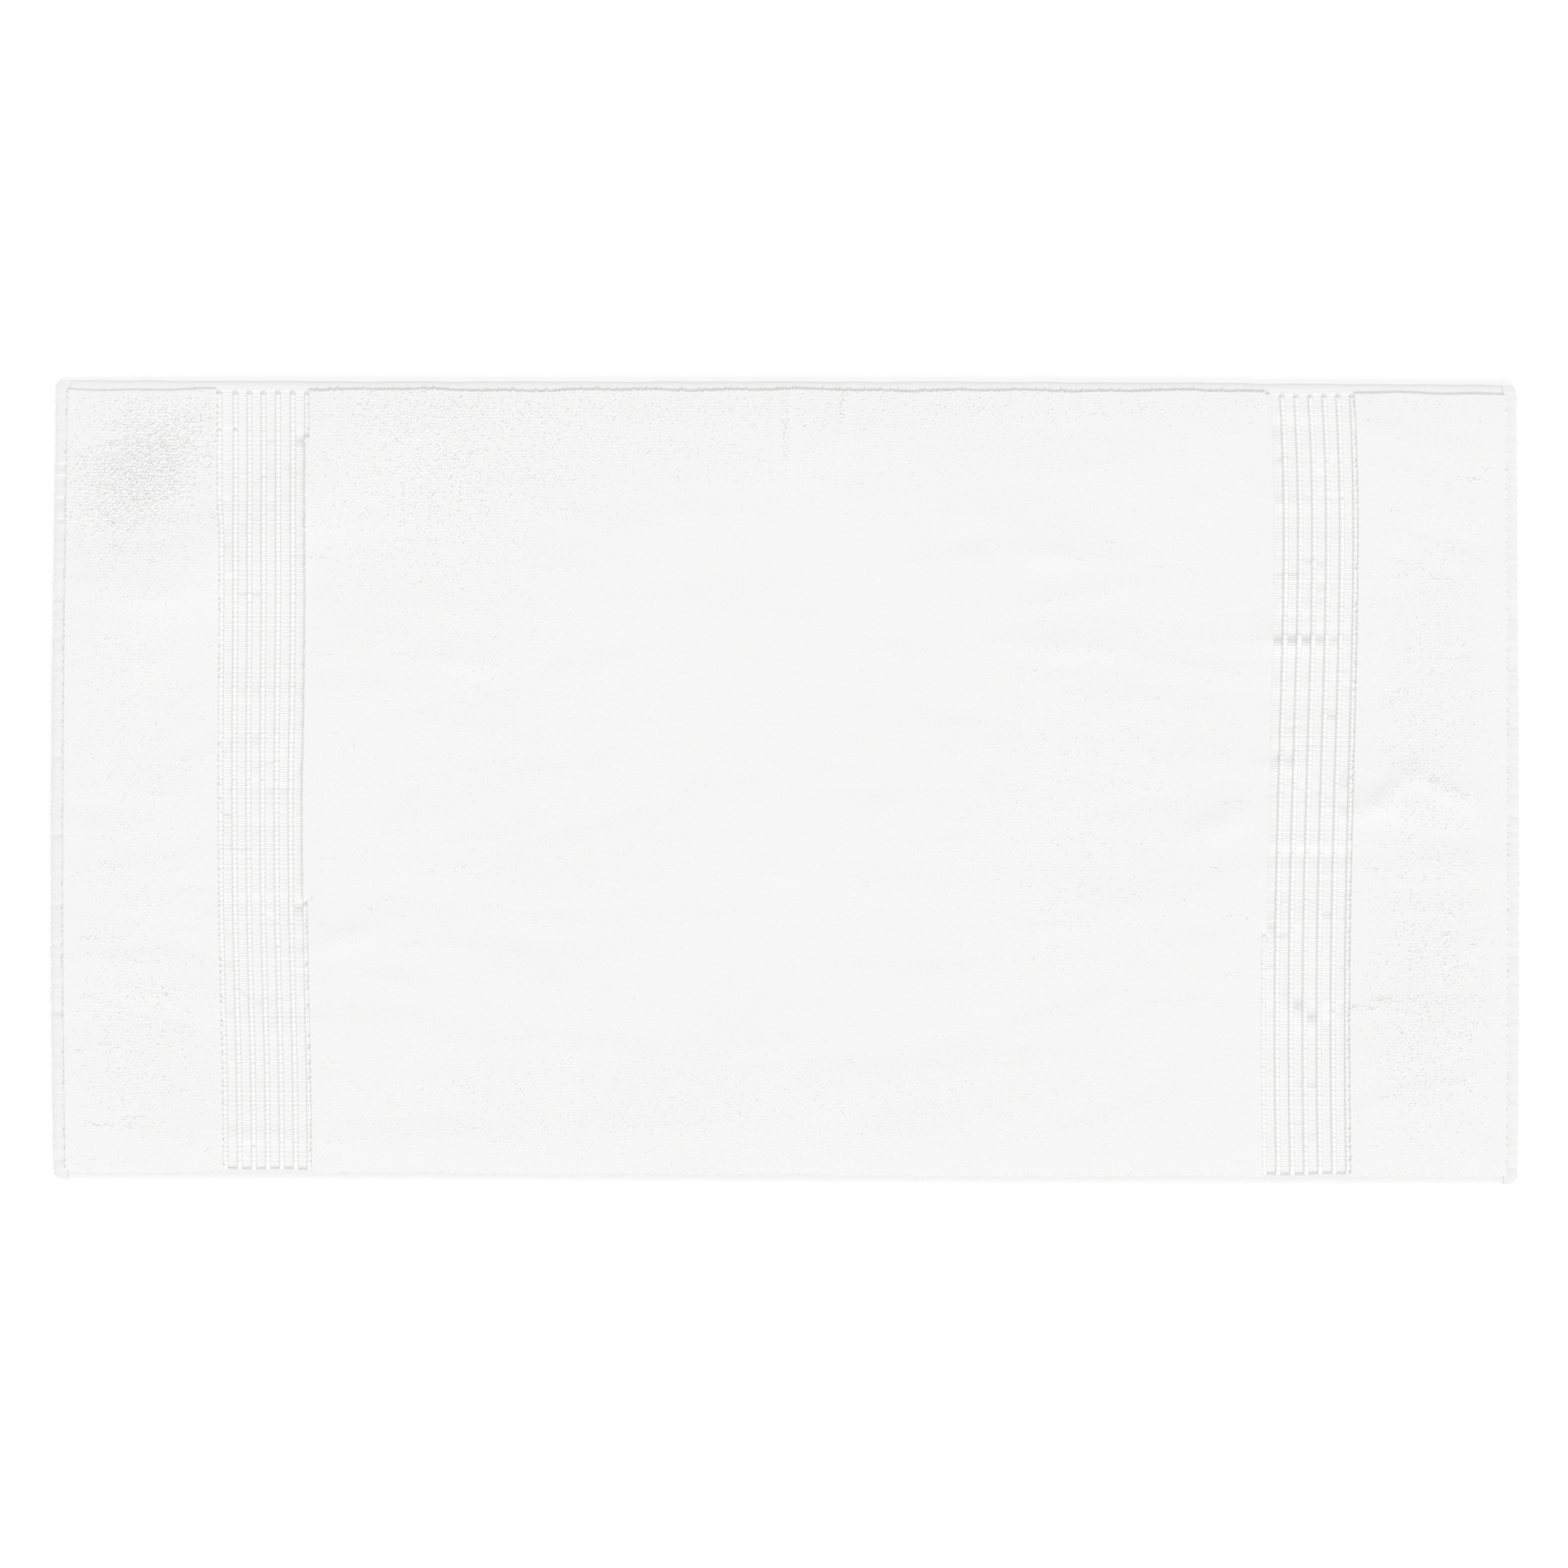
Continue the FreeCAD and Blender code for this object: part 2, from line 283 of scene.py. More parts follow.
def faint_ridges():
    """Many low ridges that run nearly along the mat and fan out a little towards its corners."""
    draw = np.random.RandomState(11)
    found = []
    for _ in range(FAINT_RIDGES):
        across = draw.uniform(-FAINT_AREA[0], FAINT_AREA[0])
        along = draw.uniform(-FAINT_AREA[1], FAINT_AREA[1])
        strength = 0.55 + 0.45 * abs(across) / FAINT_AREA[0]
        height = draw.uniform(*FAINT_HEIGHT) * strength * draw.choice((-1, 1))
        fan = across / FAINT_AREA[0] * along / FAINT_AREA[1] * FAN
        half_length = draw.uniform(*FAINT_HALF_LENGTH)
        half_width = draw.uniform(*FAINT_HALF_WIDTH)
        found.append((across, along, half_length, half_width, height, fan + draw.normal(0, FAINT_TURN)))
    return found


# %% [markdown]
# The creases are shorter and narrower than the faint wrinkles, and deeper towards the two ends of the
# mat, where the loops are less pressed.

# %% Fine creases
FINE_CREASES = 700
CREASE_AREA = (438, 236)
CREASE_HEIGHT = (0.15, 0.5)
CREASE_HALF_LENGTH = (3, 9)
CREASE_HALF_WIDTH = (0.9, 1.8)
CREASE_TURN = 16
FULL_DEPTH_FROM = 360


def fine_creases():
    """Short creases, also nearly along the mat."""
    draw = np.random.RandomState(12)
    found = []
    for _ in range(FINE_CREASES):
        across = draw.uniform(-CREASE_AREA[0], CREASE_AREA[0])
        along = draw.uniform(-CREASE_AREA[1], CREASE_AREA[1])
        strength = 0.3 + 0.9 * min(1, abs(across) / FULL_DEPTH_FROM) ** 2
        height = draw.uniform(*CREASE_HEIGHT) * strength * draw.choice((-1, 1))
        half_length = draw.uniform(*CREASE_HALF_LENGTH)
        half_width = draw.uniform(*CREASE_HALF_WIDTH)
        found.append((across, along, half_length, half_width, height, draw.normal(0, CREASE_TURN)))
    return found


ALL_RIDGES = RIDGES + faint_ridges() + fine_creases()
print(len(ALL_RIDGES), "ridges in all")

# %% [markdown]
# ## How the bands wander
#
# The weft has slipped a little along the mat, most of it at the bands. The left band bends outward
# towards the front, and its outermost and innermost cords have each moved a bit further over part of
# their length. The right band leans in an S, which a curve through six measured places describes.

# %% How the bands wander
LEFT_START = -0.6 * MM
LEFT_BEND = 2.9 * MM
LEFT_WAVE = 0.4 * MM
OUTER_CORD_SLIP = -1.9 * MM
INNER_CORD_SLIP = 1.2 * MM
# How far the middle of the right band has slipped (mm) at a few places across the mat (mm).
RIGHT_PLACES = np.array([-218, -98, -8, 52, 171, 231])
RIGHT_SLIP = np.array([-0.9, -1.2, 0.9, 2.5, 4.4, 2.4])
RIGHT_CURVE_DEGREE = 4
RIGHT_LEAN = np.polyfit(RIGHT_PLACES * MM / HALF_WIDTH, RIGHT_SLIP, RIGHT_CURVE_DEGREE)


def band_shift(x, y):
    """How far the weft has slipped along the mat at each place."""
    along = y / HALF_WIDTH
    left = LEFT_START + LEFT_BEND * smooth_step(-along, 0.25, 1.0) - LEFT_WAVE * np.cos(5 * along)
    outermost = bell(x + BAND_OUTER - 1 * MM, 4.5 * MM)
    left = left + OUTER_CORD_SLIP * outermost * smooth_step(y, 145 * MM, 175 * MM)
    innermost = bell(x + BAND_INNER + 1 * MM, 16 * MM)
    left = left + INNER_CORD_SLIP * innermost * smooth_step(y, -20 * MM, 60 * MM)
    right = np.polyval(RIGHT_LEAN, along) * MM
    from_band = np.abs(np.abs(x) - BAND_MIDDLE) / (HALF_LENGTH - BAND_MIDDLE)
    return np.where(x < 0, left, right) * smooth_step(1 - from_band, 0, 1)


# %% [markdown]
# ## How the edges wander, and the lie of the whole mat
#
# The seams along the two long sides snake by less than half a millimetre, each edge bows slightly, and
# the mat was put down a fraction of a degree out of line. Near the edges there are no loops to hold the
# cloth up, so it drops, most at the back left corner.

# %% How the edges wander
SEAM_WANDER = 0.4 * MM
END_BOW = 1.6 * MM
SIDE_BOW = 0.5 * MM
EDGE_DROP = 1.5 * MM
END_DROP_SHARE = 0.6
DROP_REACH = 17 * MM
CORNER_DROP = 2.2 * MM
CORNER_REACH = 70 * MM


def seam_shift(x, y):
    """How the seams of the side hems wander, with the loops beside them."""
    near = bell(np.abs(y) - SIDE_HEM_INNER - 1 * MM, 3.5 * MM)
    wave = np.sin(x / (19 * MM) + 1.0)
    wave = wave + 0.8 * np.sin(x / (7.3 * MM)) + 0.6 * np.sin(x / (41 * MM) + 2)
    return SEAM_WANDER * wave * near


def edge_shift(x, y):
    """Small bows of the four edges."""
    along, across = x / HALF_LENGTH, y / HALF_WIDTH
    end_bow = END_BOW * np.cos(2.1 * across + 0.5) * np.where(x < 0, 1.0, 0.5)
    side_bow = SIDE_BOW * np.sin(3.3 * along + 0.6)
    return end_bow * along**8 * np.sign(x), side_bow * across**3


def edge_drop(x, y):
    """How far the edges and the back left corner hang below the middle."""
    drop = EDGE_DROP * np.exp(-(HALF_WIDTH - np.abs(y)) / DROP_REACH)
    drop += END_DROP_SHARE * EDGE_DROP * np.exp(-(HALF_LENGTH - np.abs(x)) / DROP_REACH)
    corner = np.hypot(x + HALF_LENGTH, y - HALF_WIDTH)
    return drop + CORNER_DROP * bell(corner, CORNER_REACH)


# %% [markdown]
# `lay` puts these together. A ridge lifts the top of the mat fully and its underside by about a third,
# and a dip presses it down in proportion to the height above the floor, so nothing goes through the floor.

# %% Lay the mat down
OUT_OF_LINE = -0.0035
FOOT_LIFT = 0.35


def lay(places):
    """Takes points of the flat, straight mat to where they lie on the floor."""
    x, y, z = places.T
    end_bow, side_bow = edge_shift(x, y)
    lift = height_of(ALL_RIDGES, x, y) - edge_drop(x, y)
    up = z / LOOP_TOP
    raised = np.where(lift > 0, lift * (FOOT_LIFT + (1 - FOOT_LIFT) * up), lift * up)
    sideways = side_bow + OUT_OF_LINE * x + seam_shift(x, y)
    return np.stack([x + band_shift(x, y) + end_bow, y + sideways, z + raised], axis=1)


def settle(piece):
    """The last step of every piece: it takes the mat's lie, and rides on its body."""
    move_points(piece, lay(points(piece)))
    report(piece)
    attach(piece, BODY)


# %% [markdown]
# ## Cotton
#
# Every visible surface is cotton, so one node group makes the look of cotton yarn and each material uses
# it with its own values. Close up, cotton is a matte white with soft fibres, a little fuzz, and slight
# differences in white from place to place. The group gives the shaded colour, a roughness and a height
# for the Bump node. The shader itself stays in each material.

# %% The cotton node group
FIBRE_DETAIL = 3.0
PATCH_SCALE = 9.0
PATCH_DETAIL = 4.0
SMOOTHEST = 0.82


def socket(group, name, kind, direction, value=None):
    item = group.interface.new_socket(name=name, in_out=direction, socket_type=kind)
    if value is not None:
        item.default_value = value


def cotton_group():
    group = bpy.data.node_groups.new("cotton_yarn", "ShaderNodeTree")
    socket(group, "Colour", "NodeSocketColor", "INPUT", (0.86, 0.86, 0.855, 1))
    socket(group, "Fibre Scale", "NodeSocketFloat", "INPUT", 2600.0)
    socket(group, "Shade Spread", "NodeSocketFloat", "INPUT", 0.06)
    socket(group, "Colour", "NodeSocketColor", "OUTPUT")
    socket(group, "Roughness", "NodeSocketFloat", "OUTPUT")
    socket(group, "Height", "NodeSocketFloat", "OUTPUT")
    nodes, links = group.nodes, group.links
    taken = nodes.new("NodeGroupInput")
    given = nodes.new("NodeGroupOutput")
    place = nodes.new("ShaderNodeTexCoord")

    fibres = nodes.new("ShaderNodeTexNoise")
    fibres.inputs["Detail"].default_value = FIBRE_DETAIL
    links.new(place.outputs["Object"], fibres.inputs["Vector"])
    links.new(taken.outputs["Fibre Scale"], fibres.inputs["Scale"])

    patches = nodes.new("ShaderNodeTexNoise")
    patches.inputs["Scale"].default_value = PATCH_SCALE
    patches.inputs["Detail"].default_value = PATCH_DETAIL
    links.new(place.outputs["Object"], patches.inputs["Vector"])

    both = nodes.new("ShaderNodeMath")
    both.operation = "ADD"
    links.new(fibres.outputs["Fac"], both.inputs[0])
    links.new(patches.outputs["Fac"], both.inputs[1])
    centred = nodes.new("ShaderNodeMath")
    centred.operation = "SUBTRACT"
    centred.inputs[1].default_value = 1.0
    links.new(both.outputs[0], centred.inputs[0])
    shade = nodes.new("ShaderNodeMath")
    shade.operation = "MULTIPLY_ADD"
    shade.inputs[2].default_value = 1.0
    links.new(centred.outputs[0], shade.inputs[0])
    links.new(taken.outputs["Shade Spread"], shade.inputs[1])
    tint = nodes.new("ShaderNodeVectorMath")
    tint.operation = "SCALE"
    links.new(taken.outputs["Colour"], tint.inputs[0])
    links.new(shade.outputs[0], tint.inputs["Scale"])

    rough = nodes.new("ShaderNodeMapRange")
    rough.inputs["To Min"].default_value = SMOOTHEST
    rough.inputs["To Max"].default_value = 1.0
    links.new(fibres.outputs["Fac"], rough.inputs["Value"])
    links.new(tint.outputs["Vector"], given.inputs["Colour"])
    links.new(rough.outputs["Result"], given.inputs["Roughness"])
    links.new(fibres.outputs["Fac"], given.inputs["Height"])
    return group


COTTON = cotton_group()
print(COTTON.name, "has", len(COTTON.nodes), "nodes")

# %% [markdown]
# ## The finishes
#
# Each kind of yarn has a finish of its own. A pressed, close surface gives back more light than one full
# of small gaps, so the base colours differ a little, and that is all that sets them apart to the eye.
# Over the cords the band yarns stand high and catch the light, and in the strips between the cords they
# lie low in shade. Their colour has this painted in: a darker colour, painted shade, and a lighter one,
# painted light, are mixed by an attribute that the yarn's mesh carries.

# %% Cotton finishes
COTTON_SPECULAR = 0.15
SHEEN_ROUGHNESS = 0.5
BUMP_STRENGTH = 0.6


def cotton_material(name, colour, fibre_scale, spread, bump_mm, sheen):
    """A cotton finish: the shared group, a Bump node and a Principled shader."""
    material = bpy.data.materials.new(name)
    material.use_nodes = True
    nodes, links = material.node_tree.nodes, material.node_tree.links
    shader = nodes["Principled BSDF"]
    cotton = nodes.new("ShaderNodeGroup")
    cotton.node_tree = COTTON
    cotton.inputs["Colour"].default_value = (*colour, 1)
    cotton.inputs["Fibre Scale"].default_value = fibre_scale
    cotton.inputs["Shade Spread"].default_value = spread
    bump = nodes.new("ShaderNodeBump")
    bump.inputs["Distance"].default_value = bump_mm * MM
    bump.inputs["Strength"].default_value = BUMP_STRENGTH
    links.new(cotton.outputs["Height"], bump.inputs["Height"])
    links.new(cotton.outputs["Colour"], shader.inputs["Base Color"])
    links.new(cotton.outputs["Roughness"], shader.inputs["Roughness"])
    links.new(bump.outputs["Normal"], shader.inputs["Normal"])
    shader.inputs["Specular IOR Level"].default_value = COTTON_SPECULAR
    shader.inputs["Sheen Weight"].default_value = sheen
    shader.inputs["Sheen Roughness"].default_value = SHEEN_ROUGHNESS
    return material


def wear(piece, material):
    piece.data.materials.clear()
    piece.data.materials.append(material)


def paint_cord_light(material, cord_lit_colour, attribute):
    """Painted light and shade: the material's own darker colour where the attribute is 0, a lighter one
    where it is 1.
    """
    nodes, links = material.node_tree.nodes, material.node_tree.links
    cotton = next(n for n in nodes if n.type == "GROUP")
    strip_shaded_colour = cotton.inputs["Colour"].default_value[:]
    cord_light = nodes.new("ShaderNodeAttribute")
    cord_light.attribute_name = attribute
    mix = nodes.new("ShaderNodeMix")
    mix.data_type = "RGBA"
    mix.inputs["A"].default_value = strip_shaded_colour
    mix.inputs["B"].default_value = (*cord_lit_colour, 1)
    links.new(cord_light.outputs["Fac"], mix.inputs["Factor"])
    links.new(mix.outputs["Result"], cotton.inputs["Colour"])


# Each finish: name, colour, scale of its fibres, spread of its shades, bump (mm) and sheen.
LOOP_COTTON = cotton_material("loop_cotton", (0.77, 0.77, 0.766), 1500, 0.05, 0.25, 0.05)
BAND_COTTON = cotton_material("band_cotton", (0.76, 0.76, 0.756), 2400, 0.05, 0.12, 0.03)
# The band yarns: the darker colour is painted shade for the strips, and the lighter one below is painted
# light over the cords.
YARN_COTTON = cotton_material("yarn_cotton", (0.62, 0.62, 0.617), 2400, 0.05, 0.12, 0.03)
paint_cord_light(YARN_COTTON, (0.82, 0.82, 0.815), "cord_light")
HEM_COTTON = cotton_material("hem_cotton", (0.73, 0.73, 0.726), 2000, 0.05, 0.15, 0.03)
CLOTH_COTTON = cotton_material("cloth_cotton", (0.86, 0.86, 0.855), 1800, 0.05, 0.2, 0.03)
THREAD_COTTON = cotton_material("thread_cotton", (0.88, 0.88, 0.875), 3600, 0.03, 0.05, 0.02)
print([material.name for material in bpy.data.materials if material.name.endswith("cotton")])

# %% [markdown]
# ## The ground cloth
#
# The ground cloth reaches from hem to hem under everything else. It could be a box, but a real cloth
# has to follow the wrinkles, so it is a fine grid that Solidify gives its thickness.

# %% Ground cloth
CLOTH_THICKNESS = 0.15 * MM
CLOTH_MESH = 8 * MM


def make_ground_cloth():
    low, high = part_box("ground_cloth")
    columns = round((high.x - low.x) / CLOTH_MESH)
    rows = round((high.y - low.y) / CLOTH_MESH)
    bpy.ops.mesh.primitive_grid_add(x_subdivisions=columns, y_subdivisions=rows, size=1)
    cloth = bpy.context.object
    cloth.scale = (high.x - low.x, high.y - low.y, 1)
    cloth.location = (0, 0, CLOTH_MID)
    named("ground_cloth_sheet")
    solid = cloth.modifiers.new("thickness", "SOLIDIFY")
    solid.thickness = CLOTH_THICKNESS
    solid.offset = 0
    apply_modifiers(cloth)
    bpy.ops.object.shade_smooth_by_angle(angle=math.radians(40))
    wear(cloth, CLOTH_COTTON)
    settle(cloth)
    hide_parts("ground_cloth")
    return cloth, (high.x - low.x, high.y - low.y)


ground_cloth, cloth_size = make_ground_cloth()

# %% [markdown]
# ## Loops
#
# A terry loop is a short arch of soft yarn. The loops stand so close that their stems make one soft
# bed, and from above only their rounded backs show, turned this way or that. So a field is modelled in
# two pieces: the bed, and the backs of the loops that rise out of it.
#
# Where the cloth has been pressed the loops lie close, and the field is bright and almost even. Where
# they stand apart, light is lost between them and the field looks darker and more grainy. That is one
# number, the gap between the bed and the tops of the loops, and it changes slowly over the mat.

# %% How open the loops are
CLOSE_GAP = 0.22
# Each patch of open loops: middle x and y, half length, half width, extra gap (mm), turn (degrees).
OPEN_PATCHES = [
    (-391, 195, 52, 26, 0.36, 35),
    (-400, 190, 50, 48, 0.26, 0),
    (-400, 40, 45, 190, 0.14, 0),
    (-220, 185, 85, 80, 0.20, 0),
    (-40, 205, 230, 35, 0.14, 0),
    (-180, 0, 130, 160, 0.08, 0),
    (395, 30, 40, 180, 0.20, 0),
    (200, 60, 90, 150, 0.08, 0),
    (0, 232, 420, 12, 0.15, 0),
    (395, -150, 45, 80, 0.17, 0),
    (-395, -160, 45, 70, 0.15, 0),
    (-60, -200, 330, 45, 0.13, 0),
    (170, -60, 90, 90, 0.09, 0),
]


def loop_gap(x, y):
    """How far the bed lies below the tops of the loops."""
    return CLOSE_GAP * MM + height_of(OPEN_PATCHES, x, y)


print(f"{len(OPEN_PATCHES)} open patches, gap {CLOSE_GAP} mm elsewhere")

# %% [markdown]
# ## The bed of stems
#
# The stems can't be told apart, so the bed is one soft slab: a grid with a thickness, whose top follows
# the gap and whose foot stands out slightly, as the outermost loops lean over.

# %% The bed of stems
BED_MESH = 5 * MM
BED_FOOT = 0.9 * MM
EDGE_MARGIN = 1e-6


def loop_bed(name, low, high, face, root):
    """A soft slab under one field of loops. face is 1 on the upper side and -1 on the underside."""
    columns = max(1, round((high[0] - low[0]) / BED_MESH))
    rows = round((high[1] - low[1]) / BED_MESH)
    bpy.ops.mesh.primitive_grid_add(x_subdivisions=columns, y_subdivisions=rows, size=1)
    bed = bpy.context.object
    bed.scale = (high[0] - low[0], high[1] - low[1], 1)
    bed.location = ((low[0] + high[0]) / 2, (low[1] + high[1]) / 2, 0)
    named(name)
    solid = bed.modifiers.new("thickness", "SOLIDIFY")
    solid.thickness = 1
    solid.offset = 1
    apply_modifiers(bed)
    bpy.ops.object.shade_smooth_by_angle(angle=math.radians(50))
    x, y, z = points(bed).T
    upper = z > 0.5 if face > 0 else z < 0.5
    outward = (np.sign(x - low[0] - EDGE_MARGIN) + np.sign(x - high[0] + EDGE_MARGIN)) / 2
    x = x + np.where(upper, 0, BED_FOOT) * outward
    top = LOOP_TOP if face > 0 else 0
    level = np.where(upper, top - face * loop_gap(x, y), root)
    move_points(bed, np.stack([x, y, level], axis=1))
    wear(bed, LOOP_COTTON)
    settle(bed)
    return bed


# %% [markdown]
# ## The backs of the loops
#
# The mat has well over a hundred thousand loops, so each one may have only a few faces. Two four-sided
# cones, base to base, have eight, and smooth shading rounds them. Each is drawn out along the warp, and
# gets its own turn, lean, size and place from a seeded draw. Its foot stays inside the bed.

# %% One field of loops
UNIT_STEP = 4
POINTS_PER_LOOP = 6
LOOP_LONG = 2.0
LOOP_WIDE = 1.25
LOOP_CROWN = 0.8 * MM
LOOP_FOOT = 0.8 * MM
LEAST_CROWN = 0.4
LOOP_SIZES = (0.85, 1.2)
LEAN = 0.32
SHORTER = 0.12 * MM
STRAY = 0.33


def loop_backs(name, low, high, pitch, face, seed):
    """Fills a rectangle with the backs of loops."""
    columns = max(1, round((high[0] - low[0]) / pitch))
    rows = max(1, round((high[1] - low[1]) / pitch))
    bpy.ops.mesh.primitive_cone_add(vertices=4, radius1=1, radius2=0, depth=1, end_fill_type="TRIFAN")
    field = named(name)
    repeat(field, columns, (UNIT_STEP, 0, 0))
    repeat(field, rows, (0, UNIT_STEP, 0))
    apply_modifiers(field)
    bpy.ops.object.shade_smooth()
    loops = points(field).reshape(-1, POINTS_PER_LOOP, 3)
    grid = loops.mean(axis=1)
    column, row = np.rint(grid[:, 0] / UNIT_STEP), np.rint(grid[:, 1] / UNIT_STEP)
    unit = loops - np.stack([UNIT_STEP * column, UNIT_STEP * row, 0 * row], axis=1)[:, None, :]

    draw = np.random.RandomState(seed)
    count = len(loops)
    turn = draw.uniform(0, math.pi, count)
    size = draw.uniform(*LOOP_SIZES, count) * pitch / 2
    lean = draw.uniform(-LEAN, LEAN, (2, count))
    shorter = SHORTER * draw.uniform(0, 1, count)
    x = unit[:, :, 0] * (LOOP_LONG * size)[:, None]
    y = unit[:, :, 1] * (LOOP_WIDE * size)[:, None]
    at_rim = np.hypot(unit[:, :, 0], unit[:, :, 1]) > 0.5
    at_tip = unit[:, :, 2] > 0
    under_top = np.where(at_rim, LOOP_CROWN, np.where(at_tip, 0, LOOP_CROWN + LOOP_FOOT))
    cosine, sine = np.cos(turn)[:, None], np.sin(turn)[:, None]
    along = x * cosine - y * sine
    across = x * sine + y * cosine
    under_top = under_top + shorter[:, None] + along * lean[0][:, None] + across * lean[1][:, None]
    under_top = np.maximum(under_top, np.where(at_rim, LOOP_CROWN * LEAST_CROWN, 0))
    stray = draw.uniform(-STRAY, STRAY, (2, count))
    middle_x = low[0] + (column + 0.25 + 0.5 * (row % 2) + stray[0]) * pitch
    middle_y = low[1] + (row + 0.5 + stray[1]) * pitch
    top = LOOP_TOP if face > 0 else 0
    places = [middle_x[:, None] + along, middle_y[:, None] + across, top - face * under_top]
    if face < 0:
        edit_faces(field, flip=True)
    move_points(field, np.stack(places, axis=2).reshape(-1, 3))
    wear(field, LOOP_COTTON)
    settle(field)
    return field


# %% [markdown]
# ## Three fields on each face
#
# The bands part the loops into three fields, above and below. The loops at the edges of the mat spread
# over the seams of the hems. The underside is hidden on the floor, so its loops may be larger and fewer.

# %% Three fields on each face
UPPER_PITCH = 1.85 * MM
LOWER_PITCH = 3.1 * MM
SIDE_OVERHANG = 0.95 * MM
END_OVERHANG = 1.25 * MM


def make_loops():
    """Beds and loops on both faces. The centre field is cut into quarters to keep each mesh light."""
    made = []
    side, end = SIDE_HEM_INNER + SIDE_OVERHANG, END_HEM_INNER + END_OVERHANG
    # Each field: name, its two corners, and the CAD node's place.
    fields = [
        ("centre_front_left", (-BAND_INNER, -side), (0, 0), "centre"),
        ("centre_front_right", (0, -side), (BAND_INNER, 0), "centre"),
        ("centre_back_left", (-BAND_INNER, 0), (0, side), "centre"),
        ("centre_back_right", (0, 0), (BAND_INNER, side), "centre"),
        ("left", (-end, -side), (-BAND_OUTER, side), "left"),
        ("right", (BAND_OUTER, -side), (end, side), "right"),
    ]
    beds = [
        ("left", -end, -BAND_OUTER),
        ("centre", -BAND_INNER, BAND_INNER),
        ("right", BAND_OUTER, end),
    ]
    faces = [("upper", 1, UPPER_PITCH, CLOTH_HIGH), ("lower", -1, LOWER_PITCH, CLOTH_LOW)]
    for word, face, pitch, root in faces:
        for place, left, right in beds:
            bed = loop_bed(f"{word}_loop_bed_{place}", (left, -side), (right, side), face, root)
            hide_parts(f"{word}_pile_{place}")
            made.append(bed)
        for number, (place, low, high, node) in enumerate(fields):
            seed = 100 + 10 * number + face
            field = loop_backs(f"{word}_loops_{place}", low, high, pitch, face, seed)
            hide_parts(f"{word}_pile_{node}")
            made.append(field)
    return made


loop_fields = make_loops()

# %% [markdown]
# ## Loops that lean over a cord
#
# Along parts of a band the outer loops lean out and cover the cord next to them, which is why the band
# looks wider in one place than in another. Each such stretch is a narrow field of its own, on a low bed
# that rests on the cord.

# %% Leaning loops
ON_CORD = CLOTH_MID + CORD_RADIUS + 0.8 * MM
COVER = 2.5 * MM
# Each stretch: name, side of the mat, and its two ends across the mat.
LEANING = [
    ("left_inner", -1, -73 * MM, 211 * MM),
    ("right_inner", 1, -90 * MM, 239 * MM),
]


def make_leaning_loops():
    made = []
    for number, (word, side, start, end) in enumerate(LEANING):
        left, right = sorted((side * BAND_INNER, side * (BAND_INNER + COVER)))
        low, high = (left, start), (right, end)
        bed = loop_bed(f"leaning_bed_{word}", low, high, 1, ON_CORD)
        backs = loop_backs(f"leaning_loops_{word}", low, high, UPPER_PITCH, 1, 300 + number)
        for piece in (bed, backs):
            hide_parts("upper_pile_centre")
            made.append(piece)
    return made


loop_fields += make_leaning_loops()

# %% [markdown]
# ## The border bands
#
# In a band the warp yarns lie side by side and show as fine ribs along the mat. At each cord every second
# yarn passes over it and the others under it, so the cord looks like a row of beads. The plain way would
# be a bump map, but the ribs are what the band is, so the yarns are real: one that goes over the cords
# and one that goes under them are modelled along the mat and repeated across it.

# %% The path of one warp yarn
WARP_PITCH = 1.43 * MM
BAND_OVERLAP = 1.6 * MM
YARN_HALF_HEIGHT = 0.6 * MM
# Half of a yarn's path from the middle of a cord to the middle of the strip between two cords, in
# millimetres: the distance from the cord, the height of a yarn that goes over it, the height of one that
# goes under it, and half the yarn's width.
FROM_CORD = (0, 1.05, 1.5, 1.9, 4.3)
OVER_RISE = (1.30, 1.22, 0.45, -0.40, -0.30)
UNDER_RISE = (-1.40, -1.33, -0.60, -0.40, -0.34)
YARN_HALF_WIDTH = (4.6, 4.2, 1.6, 0.72, 0.74)
END_MARGIN = 0.3 * MM


def yarn_stations(low, high):
    """Where along the mat a yarn has a ring of points: more of them near each cord."""
    steps = [-d * MM for d in FROM_CORD[:0:-1]] + [d * MM for d in FROM_CORD[:-1]]
    inside = [cord + step for cord in CORD_PLACES for step in steps]
    kept = [x for x in inside if low + END_MARGIN < x < high - END_MARGIN]
    return np.array([low] + kept + [high])


STATIONS = yarn_stations(BAND_INNER - BAND_OVERLAP, BAND_OUTER + BAND_OVERLAP)
print(len(STATIONS), "rings of points along each yarn")

# %% [markdown]
# The yarns of a band are one mesh. Each gets a slightly different height and place, lies lower where the
# band runs in under a side hem, and is squeezed there so that it doesn't stick out. An attribute is 1
# where the yarn runs high over a cord and 0 in the low strips between, and its finish paints light and
# shade by it.

# %% The yarns of a band
ROW_STEP = 10
TUCK_REACH = 3.0 * MM
YARN_LIMIT = SIDE_HEM_INNER + 0.4 * MM
SQUEEZE = 0.95
WOBBLE = 0.09 * MM
RISE_SPREAD = (0.96, 1.03)
TUCKED_RISE = 0.8
# Up to the first distance from a cord (mm) the yarns get painted light, past the second painted shade.
CORD_LIGHT_FADE = (1.2, 1.9)


